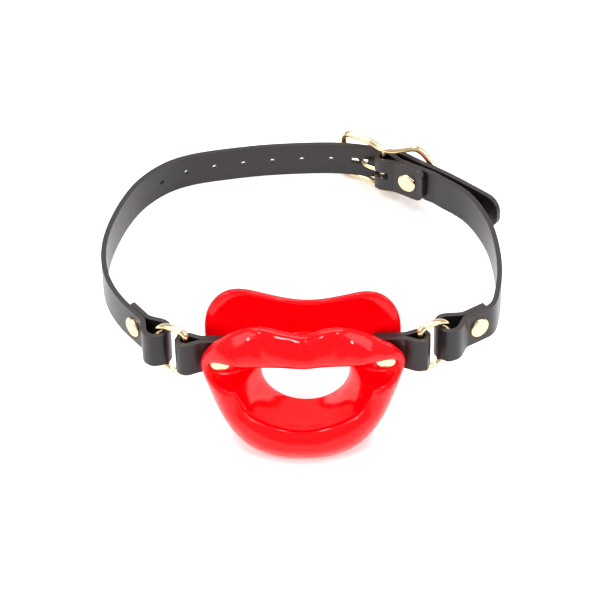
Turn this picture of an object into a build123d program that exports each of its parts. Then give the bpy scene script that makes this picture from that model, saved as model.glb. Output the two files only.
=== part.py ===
from build123d import *
import math
import os

# Lips-shaped open mouthpiece on a buckled strap loop, standing on its lower lip, its
# buckle and the back of the strap. Millimetres, +Z up, front towards -Y.
# The loop has its own flat plane: u to the right, v to the back, w across the strap.

# ---- driving sizes -------------------------------------------------------------------
STRAP_W = 16.0            # strap width
STRAP_T = 2.2             # strap thickness
LAYER_GAP = 0.2           # air between two riveted layers
TILT = 13.513             # the loop's plane leans back by this many degrees
ROLL = -0.860             # and rolls this much, down to the left
BACK_V = 136.2            # strap centreline at the middle of the back
SIDE_U = 85.2             # strap centreline at the widest place

WIRE_R = 1.5              # D-ring wire radius
RING_IN = 20.0            # clear height inside a D-ring
RING_DEPTH = 16.6         # D-ring bar centre to curve centre
RING_YAW = 33.0           # D-rings swept back from the mouth line
BAR_U = 48.8              # D-ring bar from the middle
BAR_V = 2.6
TAB_RUN = 19.3            # tab end from the D-ring bar

HOLE_R = 1.15             # strap adjusting holes
HOLE_PITCH = 13.3
HOLES = 7                 # free holes
TAIL = 75.4               # strap tip to the hole in use
RIVET_R = 4.5             # rivet cap radius
RIVET_H = 1.1             # rivet cap height
POST_R = 1.5
POST_FIT = 0.1            # radial room round a rivet post

BUCKLE_R = 1.55           # buckle rail radius
PIN_R = 1.3               # buckle centre bar radius
PRONG_R = 1.0
PRONG_FIT = 0.08          # radial room between prong eye and centre bar
BUCKLE_IN = 18.4          # clear height inside the buckle
BUCKLE_LIFT = 1.0         # buckle sits this much high on the strap, pushed up by the floor

LIP_HALF = 42.7           # corner of the mouth from the middle
LIP_TOP = 31.8
LIP_BOTTOM = -39.0
BORE_R = 18.4             # round opening at the back of the tube
BORE_W = -7.0             # its centre
WALL = 2.6                # tube wall
FLANGE_V = 8.0            # inner face of the rear flange
FLANGE_T = 3.6
WEB_V = 0.0               # back face of the riveting webs
WEB_T = 3.0
RIVET_U = 34.5            # mouth rivets from the middle

OFFSET = (-1.037, -57.991, 35.138)   # loop-plane zero to the part's origin

# ---- frames --------------------------------------------------------------------------
_t = math.radians(TILT)
_r = math.radians(ROLL)
W_DIR = Vector(math.sin(_r) * math.cos(_t), math.sin(_t), math.cos(_r) * math.cos(_t))
U_DIR = Vector(math.cos(_r), 0, -math.sin(_r))
CROWN = Plane(origin=OFFSET, x_dir=U_DIR, z_dir=W_DIR)
V_DIR = CROWN.y_dir
MID_W = STRAP_W / 2
MID = CROWN.offset(MID_W)


def spot(u, v, w=MID_W):
    return CROWN.from_local_coords(Vector(u, v, w))


def spots(points):
    return [spot(*p) for p in points]


def way(t):
    # direction in the loop plane
    return U_DIR * t[0] + V_DIR * t[1]


def heading(angle):
    a = math.radians(angle)
    return (math.cos(a), math.sin(a))


def along(c, e, d, n=0.0):
    # d forward and n to the left of heading e, starting at c
    return (c[0] + d * e[0] - n * e[1], c[1] + d * e[1] + n * e[0])


def facing(c, e, w=MID_W):
    # plane standing on the loop plane at c, looking along e
    return Plane(origin=spot(c[0], c[1], w), x_dir=W_DIR, z_dir=U_DIR * e[0] + V_DIR * e[1])


def front(v):
    # u-w plane at depth v, looking forward
    return Plane(origin=spot(0, v, 0), x_dir=U_DIR, z_dir=V_DIR * -1)


HALF = (STRAP_T + LAYER_GAP) / 2
STACK = STRAP_T + LAYER_GAP / 2       # middle of a riveted pair to its outside


def bight(c, e, r, side, run, end):
    # folded end: leg, then the turn round c; side is +1 when the leg lies right of e.
    # Gives the end of the turn and the direction it leaves in.
    a = math.radians(100)
    p0 = along(c, e, end, -side * HALF)
    p1 = along(c, e, run, -side * HALF)
    a0 = along(c, e, r * math.cos(a), -side * r * math.sin(a))
    a1 = along(c, e, r * math.cos(a), side * r * math.sin(a))
    t0 = along((0, 0), e, -math.sin(a), -side * math.cos(a))
    t1 = along((0, 0), e, math.sin(a), -side * math.cos(a))
    Line(*spots([p0, p1]))
    Spline(*spots([p1, a0]), tangents=[way(e) * -1, way(t0)])
    ThreePointArc(*spots([a0, along(c, e, -r), a1]))
    return a1, t1


def band(path):
    # strap of even thickness along a path in the middle plane
    stretches = []
    for edge in path.line.edges():
        k = math.ceil(edge.length / 40)
        for j in range(k):
            stretches.append((edge, j / k, (j + 1) / k))
    rims = []
    for side in (STRAP_T / 2, -STRAP_T / 2):
        for edge, a, b in stretches:
            n = max(4, round(edge.length * (b - a) / 4))
            rim = []
            for i in range(n + 1):
                t = a + (b - a) * i / n
                rim.append(edge @ t + W_DIR.cross(edge % t) * side - W_DIR * MID_W)
            if edge.geom_type == GeomType.LINE:
                rims.append(Edge.make_line(rim[0], rim[-1]))
            else:
                rims.append(Edge.make_spline(rim, tangents=[edge % a, edge % b]))
    half = len(stretches)
    rims.append(Edge.make_line(rims[0] @ 0, rims[half] @ 0))
    rims.append(Edge.make_line(rims[half - 1] @ 1, rims[2 * half - 1] @ 1))
    extrude(Face(Wire(rims, sequenced=True)), amount=STRAP_W, dir=W_DIR)


def corner_waste(r):
    # what rounding a strap end takes off, in a sketch with x out of the end
    for s in (-1, 1):
        with Locations(((1 - r) / 2, s * (MID_W + (1 - r) / 2))):
            Rectangle(r + 1, r + 1)
    for s in (-1, 1):
        with Locations((-r, s * (MID_W - r))):
            Circle(r, mode=Mode.SUBTRACT)


def drill(c, e, r, depth=9.0):
    with Locations(facing(c, e)):
        Cylinder(r, depth, mode=Mode.SUBTRACT)


# ---- where things are ----------------------------------------------------------------
BACK_E = {-1: heading(180 - RING_YAW), 1: heading(RING_YAW)}
BAR = {s: (s * BAR_U, BAR_V) for s in (-1, 1)}
SAG = 1.6                                  # ring curve falls back this much at strap edges
EYE = {s: along(BAR[s], BACK_E[s], RING_DEPTH - SAG) for s in (-1, 1)}
EYE_R = 4.25 + STRAP_T / 2                 # roomy turn round the ring's curve
TAB_R = WIRE_R + 0.75 + STRAP_T / 2
LEG_E = {-1: heading(126), 1: heading(33)}
RIVET_D = 14.0
LEG_RUN = 9.0
LEG_END = 19.0
PIN = (38.0, 126.3)                        # buckle centre bar
PIN_E = heading(-34)
PIN_BIGHT = PIN_R + 0.8 + STRAP_T / 2
PIN_RIVET = 13.6
PIN_END = 22.0

# ---- mouthpiece ----------------------------------------------------------------------
LIP_SHAPE = [(42.7, 8), (39.5, 16), (33.5, 22.8), (25, 29.2), (16.4, LIP_TOP), (8, 30),
             (0, 28.8)]
LIP_LOWER = [(42.7, 8), (40.6, -1.5), (37.6, -12.5), (32.2, -23.5), (24, -33), (12, -38.2),
             (0, LIP_BOTTOM)]
MOUTH = [(0, 15), (30, 15), (50, 12), (53, 6), (42, -8), (26, -20), (0, -25.5)]
FLANGE = [(0, 30.4), (14, 32.6), (28, 35.6), (38, 29), (41, 15), (39, -4), (27, -24),
          (0, -30.5)]


def symmetric(points):
    # closed smooth outline from the right half, top to bottom
    left = [(-x, y) for x, y in reversed(points[1:-1])]
    Spline(*points, *left, periodic=True)


with BuildPart() as mouthpiece:
    # lips: outline cut out of a slab bowed round a vertical cylinder
    with BuildSketch(front(6)):
        with BuildLine():
            upper = Spline(*LIP_SHAPE, tangents=[(0, 1), (-1, 0)])
            lower = Spline(*LIP_LOWER, tangents=[(0, -1), (-1, 0)])
            mirror(upper, about=Plane.YZ)
            mirror(lower, about=Plane.YZ)
        make_face()
    extrude(amount=34)
    with BuildSketch(CROWN.offset(-45)):
        with BuildLine():
            ThreePointArc((-50, -1.4), (0, -18.0), (50, -1.4))
            ThreePointArc((-50, 4.4), (0, -12.2), (50, 4.4))
            Line((-50, -1.4), (-50, 4.4))
            Line((50, -1.4), (50, 4.4))
        make_face()
    extrude(amount=90, mode=Mode.INTERSECT)
    # tube, from the wide mouth back to the round opening
    with BuildSketch(front(FLANGE_V)):
        with Locations((0, BORE_W)):
            Circle(BORE_R + WALL)
    with BuildSketch(front(-12)):
        with BuildLine():
            symmetric([(x * 0.8, y * 0.9 + (2.2 if y > 0 else -2.6)) for x, y in MOUTH])
        make_face()
    loft()
    # nothing of the tube in front of the lips
    with BuildSketch(CROWN.offset(-45)):
        with BuildLine():
            ThreePointArc((-50, -1.4), (0, -18.0), (50, -1.4))
            Polyline((50, -1.4), (50, -40), (-50, -40), (-50, -1.4))
        make_face()
    extrude(amount=90, mode=Mode.SUBTRACT)
    # rear flange that sits behind the teeth
    with BuildSketch(front(FLANGE_V + FLANGE_T)):
        with BuildLine():
            symmetric(FLANGE)
        make_face()
        with Locations((0, BORE_W)):
            Circle(BORE_R, mode=Mode.SUBTRACT)
    extrude(amount=FLANGE_T)
    # flat webs the tabs are riveted to
    for s in (-1, 1):
        with BuildSketch(front(WEB_V)):
            with Locations((s * RIVET_U, MID_W)):
                RectangleRounded(14, 15, 4)
        extrude(amount=WEB_T + 2)
    # the opening
    with BuildSketch(front(-21)):
        with BuildLine():
            symmetric(MOUTH)
        make_face()
    with BuildSketch(front(FLANGE_V + 0.6)):
        with Locations((0, BORE_W)):
            Circle(BORE_R)
    loft(mode=Mode.SUBTRACT)
    # pockets that bare the webs, and the rivet holes
    for s in (-1, 1):
        with BuildSketch(front(WEB_V - WEB_T)):
            with Locations((s * RIVET_U, MID_W)):
                Circle(RIVET_R + 0.9)
        extrude(amount=20, mode=Mode.SUBTRACT)
        with BuildSketch(front(WEB_V + 3)):
            with Locations((s * RIVET_U, MID_W)):
                Circle(POST_R + POST_FIT)
        extrude(amount=10, mode=Mode.SUBTRACT)
mouthpiece.part.label = "mouthpiece"

made = {"mouthpiece": mouthpiece.part}

# ---- tabs and D-rings ----------------------------------------------------------------
for s, name in ((-1, "left"), (1, "right")):
    e = (-s, 0)
    with BuildPart() as tab:
        with BuildLine() as path:
            a1, t1 = bight(BAR[s], e, TAB_R, 1, 7.5, TAB_RUN)
            p1 = along(BAR[s], e, 7.5, HALF)
            Spline(*spots([a1, p1]), tangents=[way(t1), way(e)])
            Line(*spots([p1, along(BAR[s], e, TAB_RUN, HALF)]))
        band(path)
        drill((s * RIVET_U, BAR_V), (0, 1), POST_R + POST_FIT)
    tab.part.label = "tab_" + name
    made[tab.part.label] = tab.part

    h = RING_IN / 2 + WIRE_R
    k = RING_DEPTH - h
    plane = Plane(origin=spot(*BAR[s]), x_dir=U_DIR * BACK_E[s][0] + V_DIR * BACK_E[s][1],
                  z_dir=(U_DIR * BACK_E[s][0] + V_DIR * BACK_E[s][1]).cross(W_DIR))
    with BuildPart() as ring:
        with BuildLine(plane) as path:
            Line((0, -h + 2.5), (0, h - 2.5))
            RadiusArc((0, h - 2.5), (2.5, h), 2.5)
            Line((2.5, h), (k, h))
            ThreePointArc((k, h), (RING_DEPTH, 0), (k, -h))
            Line((k, -h), (2.5, -h))
            RadiusArc((2.5, -h), (0, -h + 2.5), 2.5)
        with BuildSketch(Plane(origin=spot(*BAR[s]), z_dir=W_DIR)):
            Circle(WIRE_R)
        sweep(path=path.line.wires()[0])
    ring.part.label = "ring_" + name
    made[ring.part.label] = ring.part

# ---- long strap: left ring, round the back, through the buckle, free tail -------------
LEFT_RUN = [(-78.3, 33.2), (-82.2, 42.3), (-84.5, 52.3), (-SIDE_U, 62.5), (-84.3, 73.5),
            (-81.3, 87), (-77, 99.6), (-71.6, 110.4), (-64.8, 118.9), (-57.4, 125),
            (-47, 129.6), (-33, 132.7), (-17, 135.1), (0, BACK_V), (14, 136.2),
            (22, 135.4), (30.5, 133.7), (41.3, 131.4), (51.6, 123.8), (59.5, 117.6),
            (66.3, 112), (73, 105.9), (80, 99.2)]
TIP = (87.4, 92.0)
with BuildPart() as long_strap:
    with BuildLine() as long_path:
        a1, t1 = bight(EYE[-1], LEG_E[-1], EYE_R, 1, LEG_RUN, LEG_END)
        p1 = along(EYE[-1], LEG_E[-1], LEG_RUN, HALF)
        p2 = along(EYE[-1], LEG_E[-1], LEG_END, HALF)
        Spline(*spots([a1, p1]), tangents=[way(t1), way(LEG_E[-1])])
        Line(*spots([p1, p2]))
        Spline(*spots([p2, *LEFT_RUN, TIP]), tangents=[way(LEG_E[-1]), way((0.72, -0.69))])
    band(long_path)
    wire = long_path.line.wires()[0]
    for i in range(HOLES + 1):
        s = (wire.length - TAIL - i * HOLE_PITCH) / wire.length
        q = wire @ s
        n = W_DIR.cross(wire % s)
        with Locations(Plane(origin=q, x_dir=wire % s, z_dir=n)):
            if i == 0:
                Box(7.6, 2 * PRONG_R + 0.8, 8, mode=Mode.SUBTRACT)
            else:
                Cylinder(HOLE_R, 8, mode=Mode.SUBTRACT)
    drill(along(EYE[-1], LEG_E[-1], RIVET_D), along((0, 0), LEG_E[-1], 0, 1), POST_R + POST_FIT)
    with BuildSketch(Plane(wire @ 1, wire % 1, W_DIR.cross(wire % 1))):
        corner_waste(6.5)
    extrude(amount=4, both=True, mode=Mode.SUBTRACT)
long_strap.part.label = "long_strap"
made["long_strap"] = long_strap.part

# ---- buckle strap: right ring to the buckle's centre bar ------------------------------
RIGHT_RUN = [(82.4, 29), (84.2, 40), (84.8, 51), (84.3, 63), (82.2, 77.5), (77.6, 91),
             (70.4, 102.6), (61.8, 110.9)]
with BuildPart() as buckle_strap:
    with BuildLine() as path:
        a1, t1 = bight(EYE[1], LEG_E[1], EYE_R, -1, LEG_RUN, LEG_END)
        p1 = along(EYE[1], LEG_E[1], LEG_RUN, -HALF)
        p2 = along(EYE[1], LEG_E[1], LEG_END, -HALF)
        q1 = along(PIN, PIN_E, PIN_RIVET + RIVET_R + 0.2, HALF)
        q2 = along(PIN, PIN_E, 8.5, HALF)
        a = math.radians(100)
        r = PIN_BIGHT
        b0 = along(PIN, PIN_E, r * math.cos(a), r * math.sin(a))
        b1 = along(PIN, PIN_E, r * math.cos(a), -r * math.sin(a))
        p3 = along(PIN, PIN_E, 7.5, -HALF)
        p4 = along(PIN, PIN_E, PIN_END, -HALF)
        b2 = along((0, 0), PIN_E, -math.sin(a), math.cos(a))
        b3 = along((0, 0), PIN_E, math.sin(a), math.cos(a))
        Spline(*spots([a1, p1]), tangents=[way(t1), way(LEG_E[1])])
        Line(*spots([p1, p2]))
        Spline(*spots([p2, *RIGHT_RUN, q1]), tangents=[way(LEG_E[1]), way(PIN_E) * -1])
        Line(*spots([q1, q2]))
        Spline(*spots([q2, b0]), tangents=[way(PIN_E) * -1, way(b2)])
        ThreePointArc(*spots([b0, along(PIN, PIN_E, -r), b1]))
        p5 = along(PIN, PIN_E, PIN_RIVET + RIVET_R + 0.2, -HALF)
        Spline(*spots([b1, p3]), tangents=[way(b3), way(PIN_E)])
        Line(*spots([p3, p5]))
        Spline(*spots([p5, along(p4, PIN_E, 0, -0.5)]),
               tangents=[way(PIN_E), way(along((0, 0), PIN_E, 1, -0.22))])
    band(path)
    drill(along(EYE[1], LEG_E[1], RIVET_D), along((0, 0), LEG_E[1], 0, 1), POST_R + POST_FIT)
    drill(along(PIN, PIN_E, PIN_RIVET), along((0, 0), PIN_E, 0, 1), POST_R + POST_FIT)
    with Locations(facing(along(PIN, PIN_E, -1.0), along((0, 0), PIN_E, 0, 1))):
        Box(2 * PRONG_R + 1.2, 10, 16, mode=Mode.SUBTRACT)
    out = way(along((0, 0), PIN_E, 1, -0.22))
    with BuildSketch(Plane(spot(*along(p4, PIN_E, 0, -0.5)), out, W_DIR.cross(out))):
        corner_waste(4)
    extrude(amount=STRAP_T / 2 + 0.6, both=True, mode=Mode.SUBTRACT)
buckle_strap.part.label = "buckle_strap"
made["buckle_strap"] = buckle_strap.part

# ---- buckle --------------------------------------------------------------------------
PIN_X = U_DIR * PIN_E[0] + V_DIR * PIN_E[1]
SIDE = Plane(spot(*PIN, MID_W + BUCKLE_LIFT), PIN_X, W_DIR)     # d, n, w from mid-height
BH = BUCKLE_IN / 2 + BUCKLE_R
BAR_D = -22.3
BAR_N = 1.5


def at(d, n, w):
    return SIDE.from_local_coords(Vector(d, n, w))


def low(d, n):
    # on the strap's own middle line, where the prong runs
    return at(d, n, -BUCKLE_LIFT)


def turned(d, n, w):
    return at(d, n, w) - at(0, 0, 0)


with BuildPart() as buckle_frame:
    with BuildLine() as path:
        Line(at(BAR_D, BAR_N, 0), at(BAR_D, BAR_N, BH - 4))
        Spline(at(BAR_D, BAR_N, BH - 4), at(BAR_D + 4, BAR_N, BH),
               tangents=[turned(0, 0, 1), turned(1, 0, 0)])
        Spline(at(BAR_D + 4, BAR_N, BH), at(-8, 1.5, BH), at(0, 0, BH), at(6.5, 3.4, BH),
               at(12, 8.0, BH - 0.1), at(18.5, 9.2, BH - 5.2), at(21, 9.3, 0),
               tangents=[turned(1, 0, 0), turned(0, 0, -1)])
    sweep(Face(Wire.make_circle(BUCKLE_R, Plane(at(BAR_D, BAR_N, 0), z_dir=W_DIR))),
          path=path.line.wires()[0])
    mirror(about=SIDE)
    with Locations(Plane(origin=at(0, 0, 0), z_dir=W_DIR)):
        Cylinder(PIN_R, 2 * BH)
buckle_frame.part.label = "buckle_frame"
made["buckle_frame"] = buckle_frame.part

with BuildPart() as buckle_prong:
    with BuildLine() as path:
        Spline(low(-2.2, -1.0), low(-9.0, -0.9), low(-13, 1.25), low(-17, 3.5),
               low(BAR_D - 2.6, BAR_N + BUCKLE_R + PRONG_R + 0.15),
               tangents=[turned(-1, 0, 0), turned(-1, -0.05, 0)])
    start = path.line.wires()[0]
    with BuildSketch(Plane(origin=start @ 0, x_dir=W_DIR, z_dir=start % 0)):
        Circle(PRONG_R)
    sweep(path=start)
    with Locations(Plane(origin=low(0, 0), z_dir=W_DIR)):
        Cylinder(PIN_R + PRONG_FIT + 1.2, 2.6)
        Cylinder(PIN_R + PRONG_FIT, 10, mode=Mode.SUBTRACT)
    with Locations(Plane(origin=start @ 1)):
        Sphere(PRONG_R)
buckle_prong.part.label = "buckle_prong"
made["buckle_prong"] = buckle_prong.part


# ---- rivets: a domed cap, and a post carrying the cap on the far side -----------------
def rivet(name, c, out, near, far):
    # out points from the stack to the domed cap; near and far are its faces along out
    base = facing(c, out)
    with BuildPart() as cap:
        with Locations(Plane(origin=base.origin + base.z_dir * near, z_dir=base.z_dir)):
            Cylinder(RIVET_R, RIVET_H, align=(Align.CENTER, Align.CENTER, Align.MIN))
        fillet(cap.edges().sort_by(Axis(base.origin, base.z_dir))[-1], RIVET_H * 0.8)
    cap.part.label = "rivet_cap_" + name
    made[cap.part.label] = cap.part
    with BuildPart() as post:
        with Locations(Plane(origin=base.origin + base.z_dir * far, z_dir=base.z_dir)):
            Cylinder(POST_R, near - far, align=(Align.CENTER, Align.CENTER, Align.MIN))
        with Locations(Plane(origin=base.origin + base.z_dir * far, z_dir=base.z_dir * -1)):
            Cylinder(RIVET_R - 0.4, 0.8, align=(Align.CENTER, Align.CENTER, Align.MIN))
    post.part.label = "rivet_post_" + name
    made[post.part.label] = post.part


for s, name in ((-1, "left"), (1, "right")):
    rivet("mouth_" + name, (s * RIVET_U, BAR_V), (0, -1), BAR_V - WEB_V + WEB_T, -STACK)
    out = along((0, 0), LEG_E[s], 0, -s)
    rivet("strap_" + name, along(EYE[s], LEG_E[s], RIVET_D), out, STACK, -STACK)
rivet("buckle", along(PIN, PIN_E, PIN_RIVET), along((0, 0), PIN_E, 0, -1), STACK, -STACK)

os.makedirs("parts", exist_ok=True)
for name, shape in made.items():
    export_step(shape, "parts/" + name + ".step")
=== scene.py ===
import bpy
import bmesh
import math
from mathutils import Matrix, Vector


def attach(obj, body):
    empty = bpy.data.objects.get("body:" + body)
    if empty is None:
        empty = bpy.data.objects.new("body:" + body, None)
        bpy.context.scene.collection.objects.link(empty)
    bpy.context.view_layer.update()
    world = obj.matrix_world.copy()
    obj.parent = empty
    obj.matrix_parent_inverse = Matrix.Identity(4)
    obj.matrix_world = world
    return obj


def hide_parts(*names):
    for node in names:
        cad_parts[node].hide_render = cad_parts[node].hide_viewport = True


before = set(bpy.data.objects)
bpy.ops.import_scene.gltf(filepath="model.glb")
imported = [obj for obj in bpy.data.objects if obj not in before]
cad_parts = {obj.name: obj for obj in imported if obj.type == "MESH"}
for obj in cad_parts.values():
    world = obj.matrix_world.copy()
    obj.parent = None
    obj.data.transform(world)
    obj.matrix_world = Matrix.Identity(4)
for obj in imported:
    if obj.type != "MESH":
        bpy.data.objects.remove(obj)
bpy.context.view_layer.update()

# ---- the strap loop's own directions: u right, v back, w across the strap (mm) --------
TILT = math.radians(13.513)
ROLL = math.radians(-0.860)
ZERO = Vector((-1.037, -57.991, 35.138))
W = Vector((math.sin(ROLL) * math.cos(TILT), math.sin(TILT), math.cos(ROLL) * math.cos(TILT)))
U = Vector((math.cos(ROLL), 0, -math.sin(ROLL)))
V = W.cross(U)


def at(u, v, w):
    return (ZERO + U * u + V * v + W * w) * 0.001


def srgb(code):
    out = []
    for i in (0, 2, 4):
        c = int(code[i:i + 2], 16) / 255
        out.append(c / 12.92 if c <= 0.04045 else ((c + 0.055) / 1.055) ** 2.4)
    return (*out, 1)


# ---- materials ------------------------------------------------------------------------
def material(name, color, rough, **more):
    m = bpy.data.materials.new(name)
    m.use_nodes = True
    b = m.node_tree.nodes["Principled BSDF"]
    b.inputs["Base Color"].default_value = srgb(color)
    b.inputs["Roughness"].default_value = rough
    for key, value in more.items():
        b.inputs[key.replace("_", " ")].default_value = value
    return m, m.node_tree, b


# soft glossy red moulding, a little light coming through the thin places
RED, nt, b = material("glossy red soft plastic", "F20009", 0.11, Coat_Weight=0.04,
                      Coat_Roughness=0.03, Subsurface_Weight=0.5, Subsurface_Scale=0.003,
                      Specular_IOR_Level=0.2)
b.inputs["Subsurface Radius"].default_value = (1.0, 0.12, 0.10)
n = nt.nodes.new("ShaderNodeTexNoise")
n.inputs["Scale"].default_value = 55
n.inputs["Detail"].default_value = 2
co = nt.nodes.new("ShaderNodeTexCoord")
bump = nt.nodes.new("ShaderNodeBump")
bump.inputs["Strength"].default_value = 0.06
bump.inputs["Distance"].default_value = 0.002
nt.links.new(co.outputs["Object"], n.inputs["Vector"])
nt.links.new(n.outputs["Fac"], bump.inputs["Height"])
nt.links.new(bump.outputs["Normal"], b.inputs["Normal"])
nt.links.new(bump.outputs["Normal"], b.inputs["Coat Normal"])

# black coated strap: fine grain on the faces, greyer raw cut edges
STRAP, nt, b = material("black coated strap", "120D0F", 0.4, Coat_Weight=0.2,
                        Coat_Roughness=0.18, Specular_IOR_Level=0.3)
co = nt.nodes.new("ShaderNodeTexCoord")
dot = nt.nodes.new("ShaderNodeVectorMath")
dot.operation = "DOT_PRODUCT"
dot.inputs[1].default_value = W
size = nt.nodes.new("ShaderNodeMath")
size.operation = "ABSOLUTE"
ramp = nt.nodes.new("ShaderNodeMapRange")
ramp.inputs["From Min"].default_value = 0.6
ramp.inputs["From Max"].default_value = 0.8
tone = nt.nodes.new("ShaderNodeMix")
tone.data_type = "RGBA"
tone.inputs["A"].default_value = srgb("130E10")
tone.inputs["B"].default_value = srgb("2A2423")
nt.links.new(co.outputs["Normal"], dot.inputs[0])
nt.links.new(dot.outputs["Value"], size.inputs[0])
nt.links.new(size.outputs["Value"], ramp.inputs["Value"])
nt.links.new(ramp.outputs["Result"], tone.inputs["Factor"])
nt.links.new(tone.outputs["Result"], b.inputs["Base Color"])
grain = nt.nodes.new("ShaderNodeTexNoise")
grain.inputs["Scale"].default_value = 1400
grain.inputs["Detail"].default_value = 3
edge = nt.nodes.new("ShaderNodeBevel")
edge.inputs["Radius"].default_value = 0.00045
bump = nt.nodes.new("ShaderNodeBump")
bump.inputs["Strength"].default_value = 0.12
bump.inputs["Distance"].default_value = 0.0003
nt.links.new(co.outputs["Object"], grain.inputs["Vector"])
nt.links.new(grain.outputs["Fac"], bump.inputs["Height"])
nt.links.new(edge.outputs["Normal"], bump.inputs["Normal"])
nt.links.new(bump.outputs["Normal"], b.inputs["Normal"])

# polished pale gold plate on die-cast and wire hardware
GOLD, nt, b = material("pale gold plate", "F2D6A6", 0.11, Metallic=1.0)
edge = nt.nodes.new("ShaderNodeBevel")
edge.inputs["Radius"].default_value = 0.0003
nt.links.new(edge.outputs["Normal"], b.inputs["Normal"])

FLOOR = material("white sweep", "FFFFFF", 0.8)[0]

for name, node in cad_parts.items():
    kind = STRAP if name in ("long_strap", "buckle_strap", "tab_left", "tab_right") else GOLD
    node.data.materials.clear()
    node.data.materials.append(RED if name == "mouthpiece" else kind)

# ---- mouthpiece: rings of points round the opening, skinned into one body ---------------
COLUMNS = 112             # sections round the opening
HUB = -4.5                # height the sections turn about
CORNER_U = 42.7           # corner of the mouth from the middle
WRAP = 8.5                # how far the corners lie behind the middle
TUBE_R = 18.4             # round opening at the back
TUBE_DROP = 2.5           # its centre below the hub
WEB_FRONT = -2.9          # front face of the riveting webs
WEB_IN, WEB_OUT = 27.5, 31.5
FLANGE_FRONT, FLANGE_BACK = 8.0, 11.6
# outlines as (across, up): right half, top to bottom
OUTLINE = [(0, 27.6), (4.5, 28.9), (9, 30.2), (14, 30.6), (19, 29.6), (24, 27.4), (29, 23.6),
           (34, 18.8), (38.6, 14.6), (41.8, 10.6), (42.7, 6.5), (41.9, 2), (40.8, -2),
           (39.2, -7), (36.4, -15), (33.3, -22), (29.3, -28.3), (22.8, -34.6), (12, -38.4),
           (0, -39)]
LEFT = [(0, 27.6), (4.5, 28.6), (9, 29.6), (14, 31), (19, 31.2), (24, 29.8), (29, 26.6),
        (34, 22), (38.6, 16.8), (41.8, 11.6), (42.7, 6.5), (41.9, 2), (40.8, -2),
        (39.2, -7), (36.4, -15), (33.3, -22), (29.3, -28.3), (22.8, -34.6), (12, -38.4),
        (0, -39)]
MOUTH = [(0, 13.4), (9, 13.8), (17.6, 13.4), (31.6, 12), (37.4, 10.4), (39.4, 7.4),
         (38.7, 4), (36.4, 1.4), (32.4, 0.2), (29.2, -1.8), (27.5, -6), (23.4, -13.4),
         (15.5, -18.4), (6, -21.2), (0, -21.6)]
FLANGE = [(0, 30.2), (8, 31), (16, 33), (24, 35.2), (29, 35.4), (34, 33.2), (38.5, 27.6),
          (40.8, 20), (41, 10), (39.5, -2), (34, -14), (24, -25), (12, -29.6), (0, -30.5)]
# lip surface from its inner edge (0) to its outline (1), as depth
LIP_FRONT = {0: -15.0, 0.14: -16.7, 0.34: -17.9, 0.56: -17.5, 0.77: -15.7, 0.92: -13.2, 1: -11}
LIP_EDGE = -11
CREASES = ((3.2, -1), (-6.5, 1), (14.5, 1), (-18, -1))     # place across, lean


def polar(points, other=None):
    # radius by angle from the hub, for a smooth outline; left half mirrored unless given
    ring = [Vector(p) for p in points]
    ring += [Vector((-x, y)) for x, y in reversed((other or points)[1:-1])]
    fine = []
    for i in range(len(ring)):
        p0, p1, p2, p3 = (ring[(i + k) % len(ring)] for k in (-1, 0, 1, 2))
        for j in range(12):
            t = j / 12
            fine.append(0.5 * (2 * p1 + (p2 - p0) * t + (2 * p0 - 5 * p1 + 4 * p2 - p3) * t * t
                               + (3 * p1 - p0 - 3 * p2 + p3) * t ** 3))
    table = sorted((math.atan2(p.y - HUB, p.x), math.hypot(p.x, p.y - HUB)) for p in fine)
    table = [(table[-1][0] - math.tau, table[-1][1])] + table + [
        (table[0][0] + math.tau, table[0][1])]

    def radius(angle):
        angle = (angle + math.pi) % math.tau - math.pi
        for (a0, r0), (a1, r1) in zip(table, table[1:]):
            if a0 <= angle <= a1:
                return r0 + (r1 - r0) * (angle - a0) / max(a1 - a0, 1e-9)
        return table[0][1]
    return radius


outline = polar(OUTLINE, LEFT)
mouth = polar(MOUTH)
flange = polar(FLANGE)


def ease(t):
    t = min(max(t, 0), 1)
    return t * t * (3 - 2 * t)


def mix(a, b, t):
    return a + (b - a) * t


def bow(u):
    # the lips wrap round the face
    return WRAP * (u / CORNER_U) ** 2


def hole(angle, r):
    # the round tube's radius as seen from the hub
    c, s = math.cos(angle), math.sin(angle)
    return -TUBE_DROP * s + math.sqrt(r * r - (TUBE_DROP * c) ** 2)


def crest(x, f, swell):
    # folds either side of the bow, and the line under the upper lip's border
    high = -0.3 * math.exp(-((f - 0.77) / 0.07) ** 2) * swell
    for u0, lean in CREASES:
        d = (x - u0 - lean * (f - 0.6) * 7) / 1.7
        high += math.exp(-d * d) * math.exp(-((f - 0.6) / 0.24) ** 2)
    return high


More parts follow.
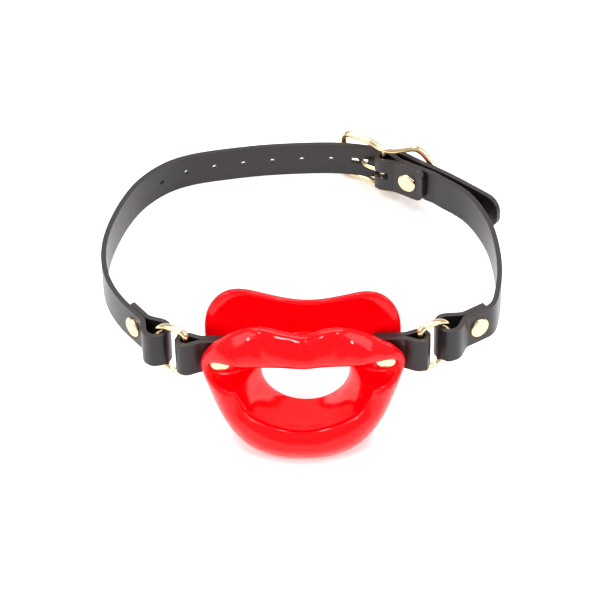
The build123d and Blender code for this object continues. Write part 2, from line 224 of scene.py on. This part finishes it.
def profile(angle):
    # section of the moulding at one angle: (radius, depth) from the tube forwards,
    # over the lip, back along the outside and round the rear flange
    c, s = math.cos(angle), math.sin(angle)
    ci, o, fl = mouth(angle), outline(angle), flange(angle)
    tube = hole(angle, TUBE_R)
    corner = math.degrees(math.atan2(s, abs(c)))
    k = ease(1.9 - abs(corner - 20) / 8)         # 1 at the riveting webs
    upper = ease((s + 0.1) / 0.5)                # 1 over the upper lip
    swell = min(1, (o - ci) / 13)                # full lips, thin corners

    # tube wall, flattened into the web at the corners
    out = [(hole(angle, TUBE_R + 0.2), 11.0), (tube, 9.0)]
    edge_v = mix(-9.6, -15.0, swell) + bow(ci * c) * (0.3 + 0.7 * swell)
    for t, kv, kr in ((0.78, WEB_FRONT + 2.6, WEB_IN), (0.55, WEB_FRONT + 0.1, 30.0),
                      (0.2, WEB_FRONT, ci - 1.2)):
        r = mix(tube, ci, 1 - t)
        v = mix(edge_v, 9.0, t)
        out.append((mix(r, min(kr / max(abs(c), 0.6), ci - 1), k), mix(v, kv, k)))
    out.append((ci - 0.3, mix(edge_v, WEB_FRONT, 0.25 + 0.3 * k)))

    # front of the lip
    for f, v in LIP_FRONT.items():
        r = ci + (o - ci) * f
        fold = crest(r * c, f, swell) if upper > 0.5 else 0
        out.append((r, LIP_EDGE + (v - LIP_EDGE) * swell + bow(r * c) + fold))

    # back of the lip and outside of the tube
    back = mix(bow(o * c) - 8.6, -1.6, k)
    inner = mix(ci + 3.2, WEB_OUT / max(abs(c), 0.6), k)
    out += [(o * 0.992, back),
            (o - 1.6, mix(back + 1.4, -0.2, k)),
            (mix(o, inner, 0.6), mix(bow(ci * c) - 9.8, -0.15, k)),
            (inner, mix(bow(ci * c) - 8.6, -0.1, k)),
            (mix(mix(ci + 2.8, hole(angle, 21), 0.5), WEB_IN, k), mix(0.0, 1.6, k)),
            (hole(angle, 21.3), 6.6),
            (hole(angle, 23.0), FLANGE_FRONT - 0.1)]

    # rear flange, its right ear a little lower than its left
    fl -= 1.1 * c * upper
    out += [(mix(hole(angle, 23.0), fl, 0.55), FLANGE_FRONT - 0.3 * upper),
            (fl - 1.6, FLANGE_FRONT + 0.12 * math.cos(2 * angle)),
            (fl - 0.3, 8.7), (fl, 9.8), (fl - 0.3, 10.9),
            (fl - 1.6, FLANGE_BACK),
            (mix(hole(angle, 19.5), fl, 0.5), FLANGE_BACK),
            (hole(angle, 19.4), FLANGE_BACK)]
    return out


def placed(r, v, angle):
    # the flange sits a little askew behind the lips
    u, g = r * math.cos(angle), ease((v - 2) / 6)
    return at(u + g, v - 0.035 * u * g, HUB + r * math.sin(angle))


def finished(name, bm, finish):
    mesh = bpy.data.meshes.new(name)
    bm.to_mesh(mesh)
    bm.free()
    mesh.materials.append(finish)
    o = bpy.data.objects.new(name, mesh)
    bpy.context.scene.collection.objects.link(o)
    return o


bm = bmesh.new()
columns = []
for i in range(COLUMNS):
    a = math.tau * i / COLUMNS
    columns.append([bm.verts.new(placed(r, v, a)) for r, v in profile(a)])
for i in range(COLUMNS):
    one, two = columns[i], columns[(i + 1) % COLUMNS]
    for j in range(len(one)):
        k = (j + 1) % len(one)
        bm.faces.new((one[j], one[k], two[k], two[j]))
bmesh.ops.recalc_face_normals(bm, faces=bm.faces)
lips = finished("lips", bm, RED)
for p in lips.data.polygons:
    p.use_smooth = True
sub = lips.modifiers.new("smooth", "SUBSURF")
sub.levels = 2
sub.render_levels = 2
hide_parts("mouthpiece")
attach(lips, "mouth")

# ---- floor, lights, camera --------------------------------------------------------------
bm = bmesh.new()
bmesh.ops.create_grid(bm, x_segments=1, y_segments=1, size=6)
floor = finished("floor", bm, FLOOR)

world = bpy.data.worlds.new("room")
world.use_nodes = True
world.node_tree.nodes["Background"].inputs["Color"].default_value = (1, 1, 1, 1)
world.node_tree.nodes["Background"].inputs["Strength"].default_value = 0.62
bpy.context.scene.world = world


def softbox(name, place, target, size, power):
    light = bpy.data.lights.new(name, "AREA")
    light.shape = "RECTANGLE"
    light.size, light.size_y = size
    light.energy = power
    o = bpy.data.objects.new(name, light)
    bpy.context.scene.collection.objects.link(o)
    o.location = place
    o.rotation_euler = (Vector(target) - Vector(place)).to_track_quat("-Z", "Y").to_euler()


softbox("left box", (-0.75, -0.15, 0.6), (0, 0, 0.02), (0.5, 0.7), 4.2)
softbox("right box", (0.75, -0.1, 0.6), (0, 0, 0.02), (0.5, 0.7), 4.2)
softbox("back box", (0, 0.6, 0.85), (0, 0, 0), (0.9, 0.5), 7.5)
for x, y, z in ((-0.3, -0.05, 0.95), (0.3, -0.05, 0.95), (-0.6, -0.4, 0.6), (0.6, -0.4, 0.6)):
    softbox("spark", (x, y, z), (0, -0.06, 0.02), (0.06, 0.06), 1.5)

ELEV = math.radians(40)          # camera above the loop's plane
LEAN = math.radians(-1.0)
AWAY = 1200                      # camera distance, mm
AIM = (-0.84, 29.5)              # middle of the view from the loop's zero, mm
LENS = 172.1
up = W * math.cos(ELEV) + V * math.sin(ELEV)
ahead = V * math.cos(ELEV) - W * math.sin(ELEV)
eye = ZERO * 0.001 + (U * AIM[0] + up * AIM[1] - ahead * AWAY) * 0.001
right2 = U * math.cos(LEAN) + up * math.sin(LEAN)
up2 = up * math.cos(LEAN) - U * math.sin(LEAN)
cam = bpy.data.cameras.new("camera")
cam.lens = LENS
cam.sensor_width = 36
shot = bpy.data.objects.new("camera", cam)
bpy.context.scene.collection.objects.link(shot)
turn = Matrix((right2, up2, -ahead)).transposed().to_4x4()
shot.matrix_world = Matrix.Translation(eye) @ turn
bpy.context.scene.camera = shot
bpy.context.scene.view_settings.view_transform = "Standard"
